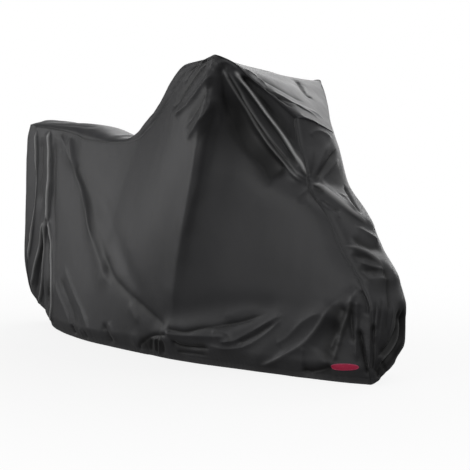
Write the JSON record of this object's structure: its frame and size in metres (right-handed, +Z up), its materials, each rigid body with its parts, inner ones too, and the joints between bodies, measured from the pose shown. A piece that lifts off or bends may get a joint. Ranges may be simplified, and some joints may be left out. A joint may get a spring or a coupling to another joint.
{
  "type": "motorcycle cover",
  "caption": "Black fitted cloth cover in the shape in which it hangs over a parked motorcycle, with an elastic hem and a small red patch.",
  "frame": {"origin": "on the floor, under the middle of the cover's bounding box", "axes": "+X towards the motorcycle's front, +Y towards its left side, +Z up"},
  "size_m": [2.45, 0.735, 1.2501],
  "materials": {
    "black_cloth": "satin coated plain-weave nylon or polyester, water repellent",
    "red_patch": "matt woven patch with a stitched edge"
  },
  "bodies": {
    "root": {"side_panel_right": "black_cloth", "side_panel_left": "black_cloth", "centre_panel": "black_cloth", "hem_patch": "red_patch"}
  },
  "joints": []
}
